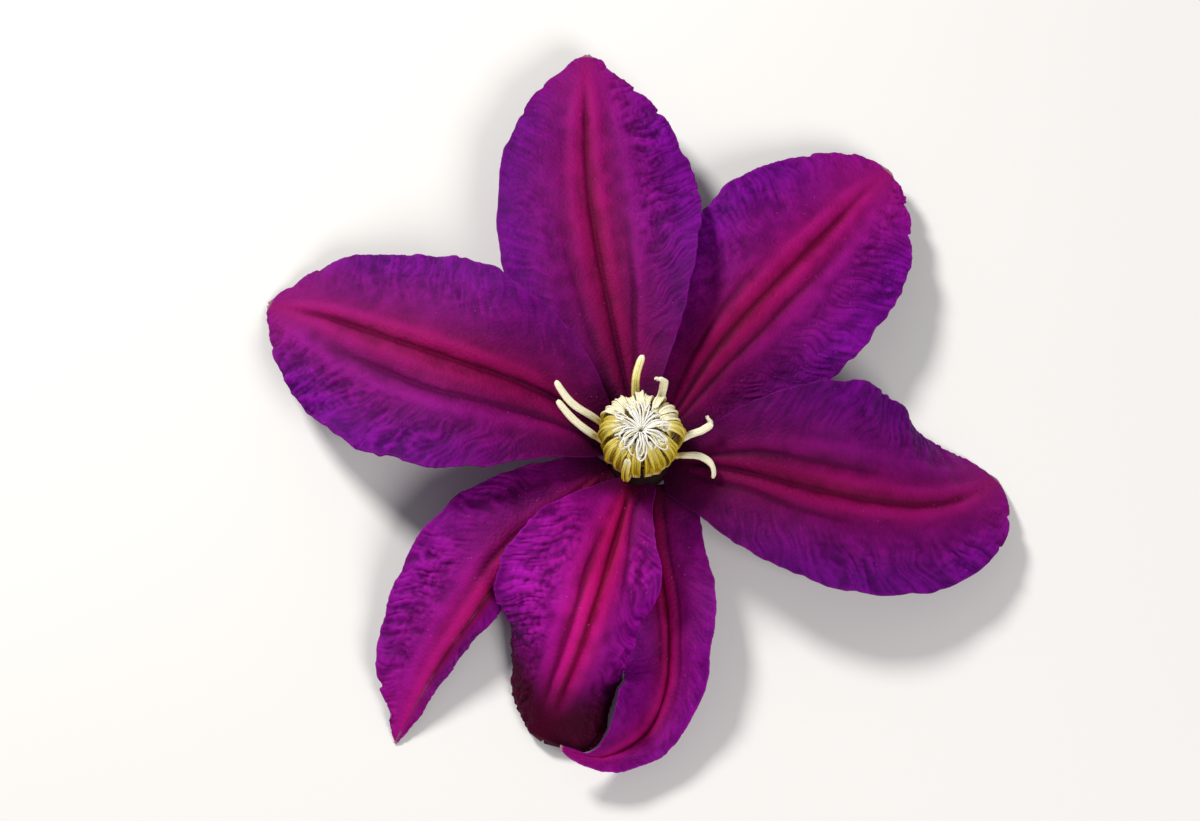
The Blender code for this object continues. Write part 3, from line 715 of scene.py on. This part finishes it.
free_stamens = {
    "free_stamen_back": [(-0.4, 4.45, 2.8), (-0.9, 9.9, 5.4), (-0.7, 13.2, 8.2), (0.4, 16.4, 9.6)],
    "free_stamen_back_hooked": [(2.4, 3.75, 2.8), (3.6, 9.0, 6.2), (4.3, 10.6, 9.2),
                                (4.3, 11.2, 10.9), (3.6, 11.2, 11.7), (2.9, 10.9, 11.6)],
    "free_stamen_right_upper": [(4.35, 0.9, 2.8), (8.9, 2.2, 5.6), (11.7, 3.2, 6.5),
                                (13.1, 4.2, 7.5), (12.2, 5.0, 8.2)],
    "free_stamen_right_lower": [(4.35, -0.9, 2.8), (7.6, -1.6, 5.2), (10.7, -2.0, 6.0),
                                (12.8, -3.4, 5.6), (13.1, -5.4, 4.4)],
    "free_stamen_left_upper": [(-3.9, 2.1, 2.8), (-7.8, 5.3, 5.4), (-13.1, 8.2, 8.0),
                               (-15.5, 11.4, 9.2)],
    "free_stamen_left_lower": [(-4.4, 0.4, 2.8), (-8.2, 2.4, 4.9), (-12.4, 5.2, 6.6),
                               (-15.2, 8.0, 8.0)],
    "free_stamen_front": [(-1.7, -4.1, 2.8), (-2.7, -6.6, 5.8), (-3.0, -7.4, 8.6),
                          (-2.8, -6.9, 11.4), (-2.4, -5.6, 13.6)],
}
for number, (name, path) in enumerate(free_stamens.items()):
    run_x = path[-2][0] - path[0][0]
    run_y = path[-2][1] - path[0][1]
    run = math.hypot(run_x, run_y)
    sideways = (run_y / run, -run_x / run, 0.0)
    made = add_ribbon(name.replace("free_stamen", "anther_free"), path,
                      (0.36, 0.46, 0.50, 0.52, 0.44), sideways, 700 + number * 5, 0.60)
    golden = name in ("free_stamen_back", "free_stamen_front")
    made.data.materials.append(anther_gold if golden else anther_pale)
    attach(made, "root")
    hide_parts(name)

# ---- The styles ----
# Fine white threads, one from each carpel. They rise through the middle of the boss, spread
# like a burst over the tops of the anthers, and those in front hang down and curl back.


def add_thread(name, points, radii, facets=2):
    """A round thread with closed ends along the points, thicker or thinner as radii say."""
    deselect()
    line = bpy.data.curves.new(name, "CURVE")
    line.dimensions = "3D"
    line.bevel_depth = MM
    line.bevel_resolution = facets
    line.use_fill_caps = True
    spline = line.splines.new("POLY")
    spline.points.add(len(points) - 1)
    for knot, point, radius in zip(spline.points, points, radii):
        knot.co = (*(np.array(point) * MM + head), 1.0)
        knot.radius = radius
    made = bpy.data.objects.new(name, line)
    bpy.context.scene.collection.objects.link(made)
    bpy.context.view_layer.objects.active = made
    made.select_set(True)
    bpy.ops.object.convert(target="MESH")
    bpy.ops.object.mode_set(mode="EDIT")
    bpy.ops.mesh.select_all(action="SELECT")
    bpy.ops.mesh.remove_doubles(threshold=0.00001)
    bpy.ops.mesh.normals_make_consistent(inside=False)
    bpy.ops.object.mode_set(mode="OBJECT")
    bpy.ops.object.shade_smooth()
    return made


ivory = Paint("style_ivory")
ivory_cloud = ivory.noise(1.4 * MM, 2.0)
ivory_patch = ivory.step(ivory_cloud, 0.3, 0.5)
ivory.set(base_color=ivory.mix((0.84, 0.76, 0.50), (0.96, 0.94, 0.88), ivory_patch),
          roughness=0.42, subsurface_weight=0.2, subsurface_scale=0.4 * MM,
          subsurface_radius=(1.0, 0.8, 0.6))
chance = np.random.default_rng(41)
style_count = 58
for number in range(style_count):
    angle = 2.0 * math.pi * (number + chance.uniform(-0.35, 0.35)) / style_count
    front = max(0.0, -math.sin(angle)) ** 2
    back = max(0.0, math.sin(angle))
    layer = number % 3
    reach = chance.uniform(3.6, 5.6) + 0.5 * front
    top = 15.6 - 0.42 * layer
    lift = chance.uniform(-0.15, 0.2)
    root = 0.45 + 0.35 * layer
    veer = chance.uniform(-0.20, 0.20)
    profile = [(root, 11.3, 0.0), (root * 0.8 + 0.2, 13.2 - 0.3 * layer, 0.0),
               (0.30 * reach, top - 0.9 + lift, 0.0), (0.52 * reach, top - 0.2 + lift, 0.5 * veer),
               (0.76 * reach, top - 0.1 + lift - 0.4 * front, veer)]
    if front > 0.15 or number % 5 == 0:
        curl = chance.choice([-1.0, 1.0]) * chance.uniform(0.10, 0.28)
        profile += [(0.95 * reach, top - 0.8 - 0.3 * front, veer + 0.4 * curl),
                    (1.02 * reach, top - 1.5 - 0.3 * front, veer + curl),
                    (0.86 * reach, top - 1.6 - 0.2 * front, veer + 1.7 * curl),
                    (0.74 * reach, top - 1.1, veer + 1.5 * curl)]
    else:
        profile += [(reach, top - 0.55 + 0.5 * back * lift, 1.5 * veer)]
    path = [leaning(radius, height, angle + turn, 0.35) for radius, height, turn in profile]
    count = 34
    points = smooth_path(path, np.linspace(0.0, 1.0, count))
    radii = 0.080 + 0.062 * np.sin(np.linspace(0.0, 2.9, count)) + 0.02 * chance.uniform()
    made = add_thread(f"style_thread_{number + 1:02d}", points, radii)
    made.data.materials.append(ivory.material)
    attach(made, "root")
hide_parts(*[f"style_{n + 1:02d}" for n in range(16)])

# ---- The carpels ----
# A tight cone of small one-seeded carpels on the receptacle, green and silky with hairs. Each
# is drawn out at its top into one of the styles. The stamens hide all but their tops.

carpel_paint = Paint("carpel_green")
carpel_cloud = carpel_paint.noise(0.7 * MM, 3.0)
carpel_green = carpel_paint.mix((0.10, 0.11, 0.015), (0.34, 0.33, 0.08), carpel_cloud)
carpel_paint.set(base_color=carpel_green,
                 roughness=0.6,
                 normal=carpel_paint.bump(carpel_paint.noise(0.15 * MM), 0.05 * MM))
carpel_lean = (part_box("carpels")[0][1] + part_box("carpels")[1][1]) / 2 - head[1]
for number in range(31):
    ring = 0 if number < 14 else 1 if number < 24 else 2
    place = number - (0, 14, 24)[ring]
    angle = 2.0 * math.pi * (place + 0.5 * ring) / (14, 10, 7)[ring]
    foot = (1.75, 1.30, 0.70)[ring]
    base = (3.9, 5.6, 7.2)[ring]
    steps = np.linspace(0.0, 1.0, 15)
    swell = 0.10 + 0.34 * np.sin(np.clip(steps * 1.25, 0.0, 1.0) * math.pi) ** 0.8
    lean_in = foot * (1.0 - 0.45 * steps) + 0.12
    points = np.stack([lean_in * math.cos(angle), lean_in * math.sin(angle) + carpel_lean / MM,
                       base + steps * (10.9 - base)], axis=1)
    made = add_thread(f"carpel_seed_{number + 1:02d}", points, swell, 1)
    made.data.materials.append(carpel_paint.material)
    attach(made, "root")
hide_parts("carpels")

# ---- The receptacle and the stalk ----
# The swollen end of the stalk carries every other piece. It is green below and painted almost
# black on top, for the deep shade under the stamens, and wider than in the CAD. Below it the
# round, finely ribbed stalk bends under the flower and ends in a clean cut.


def add_tube(name, path, radius, columns, rows):
    """A grid wrapped round a path: radius gives each row's size, and zero at both ends."""
    made, order = add_grid(name, columns, rows)
    turn = np.linspace(-math.pi, math.pi, columns + 1)
    step = np.linspace(0.0, 1.0, rows + 1)
    share, around = (side.ravel() for side in np.meshgrid(step, turn, indexing="ij"))
    place, size = radius(share, around)
    middle = smooth_path(path, place)
    ahead = smooth_path(path, place + 0.01) - smooth_path(path, place - 0.01)
    ahead /= np.linalg.norm(ahead, axis=1)[:, None]
    side = np.cross(ahead, (1.0, 0.0, 0.0))
    side /= np.linalg.norm(side, axis=1)[:, None]
    over = np.cross(side, ahead)
    points = middle + side * (size * np.cos(around))[:, None]
    points = points + over * (size * np.sin(around))[:, None]
    lay_grid(made, order, points, {"share": place, "around": around})
    deselect()
    made.select_set(True)
    bpy.context.view_layer.objects.active = made
    bpy.ops.object.mode_set(mode="EDIT")
    bpy.ops.mesh.select_all(action="SELECT")
    bpy.ops.mesh.remove_doubles(threshold=0.000002)
    bpy.ops.mesh.normals_make_consistent(inside=False)
    bpy.ops.object.mode_set(mode="OBJECT")
    bpy.ops.object.shade_smooth()
    return made


def stalk_size(share, around):
    ribs = 0.045 * np.cos(around * 9.0) + 0.02 * ripple(91, share * 60.0, around * 3.0)
    rough = 0.05 * ripple(92, share * 14.0, around)
    body = 1.10 + ribs + rough + 0.10 * (1.0 - ease(0.0, 0.10, share))
    start = np.clip(share / 0.02, 0.0, 1.0)
    finish = np.clip((1.0 - share) / 0.02, 0.0, 1.0)
    place = np.clip((share - 0.02) / 0.96, 0.0, 1.0)
    hollow = -0.004 * (1.0 - finish) * (finish > 0.3)
    return place + hollow, body * np.where(share < 0.5, start, finish)


stalk_path = [(0.0, 0.0, -5.0), (0.0, 0.1, -6.0), (-0.1, 1.0, -7.8), (-0.5, 4.0, -9.3),
              (-1.3, 9.0, -9.75), (-2.9, 20.0, -9.8), (-5.3, 36.0, -9.8), (-7.0, 52.0, -9.8)]
stalk = add_tube("stalk_green", stalk_path, stalk_size, 72, 300)
green = Paint("stalk_green")
streaks = green.noise(1.1 * MM, 3.0, 0.6)
ridge = green.node("ShaderNodeMath", {"operation": "COSINE"}, {0: green.attribute("around") * 9.0})
fresh = green.mix((0.070, 0.110, 0.018), (0.210, 0.280, 0.075), streaks * 0.7 + 0.15 * ridge)
blush = green.step(green.noise(7.0 * MM, 2.0), 0.42, 0.62)
cut = green.step(green.attribute("share"), 0.9985, 0.9995)
colour = green.mix(fresh, (0.190, 0.070, 0.060), blush * 0.55)
green.set(base_color=green.mix(colour, (0.480, 0.560, 0.270), cut),
          roughness=0.50 + 0.10 * streaks,
          normal=green.bump(green.noise(0.25 * MM, 3.0), 0.07 * MM))
stalk.data.materials.append(green.material)
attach(stalk, "root")
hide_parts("stalk")


def receptacle_size(share, around):
    profile = np.array([(0.0, 3.2), (2.4, 3.05), (3.6, 2.7), (4.8, 2.0), (5.7, 1.0), (6.0, -0.2),
                        (5.4, -1.9), (3.8, -3.3), (1.6, -4.45), (0.0, -4.5)])
    spans = np.linalg.norm(np.diff(profile, axis=0), axis=1)
    stops = np.concatenate([[0.0], np.cumsum(spans)]) / spans.sum()
    radius = np.interp(share, stops, profile[:, 0])
    height = np.interp(share, stops, profile[:, 1])
    flutes = 1.0 - 0.035 * (1.0 + np.cos(around * 7.0)) * ease(0.45, 0.60, share)
    dimple = 1.0 - 0.020 * (1.0 + np.cos(around * 16.0)) * (1.0 - ease(0.15, 0.40, share))
    return (3.2 - height) / 7.7, radius * flutes * dimple


receptacle = add_tube("receptacle_green", [(0.0, 0.0, 3.2), (0.0, 0.0, 0.6), (0.0, 0.0, -2.0),
                                           (0.0, 0.0, -4.5)], receptacle_size, 112, 60)
bud = Paint("receptacle_green")
bud_cloud = bud.noise(1.3 * MM, 3.0)
bud_green = bud.mix((0.040, 0.050, 0.012), (0.110, 0.130, 0.036), bud_cloud)
# Painted shade: the top is painted almost black for the deep shade under the stamens.
bud_painted_shade = bud.mix((0.007, 0.002, 0.003), (0.020, 0.006, 0.006), bud_cloud)
bud_low = bud.step(bud.attribute("share") + (bud_cloud - 0.5) * 0.10, 0.62, 0.80)
bud.set(base_color=bud.mix(bud_painted_shade, bud_green, bud_low), roughness=0.60, specular_ior_level=0.06,
        normal=bud.bump(bud.noise(0.22 * MM, 3.0), 0.06 * MM))
receptacle.data.materials.append(bud.material)
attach(receptacle, "root")
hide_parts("receptacle")

# ---- The hairs ----
# Fine silver hairs stand on the stalk and along the rolled edge of the lower left tepal.


def add_hairs(name, roots, ways, lengths, width):
    """Many fine three-sided hairs in one mesh, each a thin pyramid from its root."""
    corners = []
    faces = []
    for root, way, length in zip(roots, ways, lengths):
        way = way / np.linalg.norm(way)
        side = np.cross(way, (0.31, 0.72, 0.62))
        side /= np.linalg.norm(side)
        over = np.cross(way, side)
        first = len(corners)
        for turn in (0.0, 2.0944, 4.1888):
            spoke = side * math.cos(turn) + over * math.sin(turn)
            corners.append(root - way * 0.06 + spoke * width)
        corners.append(root + way * length)
        faces += [(first, first + 1, first + 3), (first + 1, first + 2, first + 3),
                  (first + 2, first, first + 3), (first + 2, first + 1, first)]
    mesh = bpy.data.meshes.new(name)
    mesh.from_pydata([tuple(np.array(corner) * MM + head) for corner in corners], [], faces)
    made = bpy.data.objects.new(name, mesh)
    bpy.context.scene.collection.objects.link(made)
    mesh.materials.append(silver.material)
    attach(made, "root")
    return made


silver = Paint("silver_hair")
silver.set(base_color=silver.mix((0.60, 0.58, 0.52), (0.80, 0.78, 0.74), silver.noise(1.0 * MM)),
           roughness=0.5)
chance = np.random.default_rng(77)
many = 600
where = chance.uniform(0.06, 0.985, many)
middle = smooth_path(stalk_path, where)
ahead = smooth_path(stalk_path, where + 0.01) - smooth_path(stalk_path, where - 0.01)
ahead /= np.linalg.norm(ahead, axis=1)[:, None]
side = np.cross(ahead, (1.0, 0.0, 0.0))
side /= np.linalg.norm(side, axis=1)[:, None]
over = np.cross(side, ahead)
turn = chance.uniform(-math.pi, math.pi, many)
ways = side * np.cos(turn)[:, None] + over * np.sin(turn)[:, None]
roots = middle + ways * 1.08
ways = ways + ahead * chance.uniform(-0.3, 0.6, many)[:, None]
keep = (roots + ways * 0.7)[:, 2] > lowest + 0.1
lengths = chance.uniform(0.35, 0.75, many)
hairs = add_hairs("stalk_hairs", roots[keep], ways[keep], lengths[keep], 0.022)
tepal = tepals["tepal_lower_left"]
many = 260
where = chance.uniform(0.42, 0.93, many)
edge = tepal_sheet(tepal, np.full(many, -0.985), where)
inner = tepal_sheet(tepal, np.full(many, -0.80), where)
ways = edge - inner
ways /= np.linalg.norm(ways, axis=1)[:, None]
ways += chance.uniform(-0.45, 0.45, (many, 3))
hairs = add_hairs("petal_hairs", edge, ways, chance.uniform(0.30, 0.70, many), 0.018)
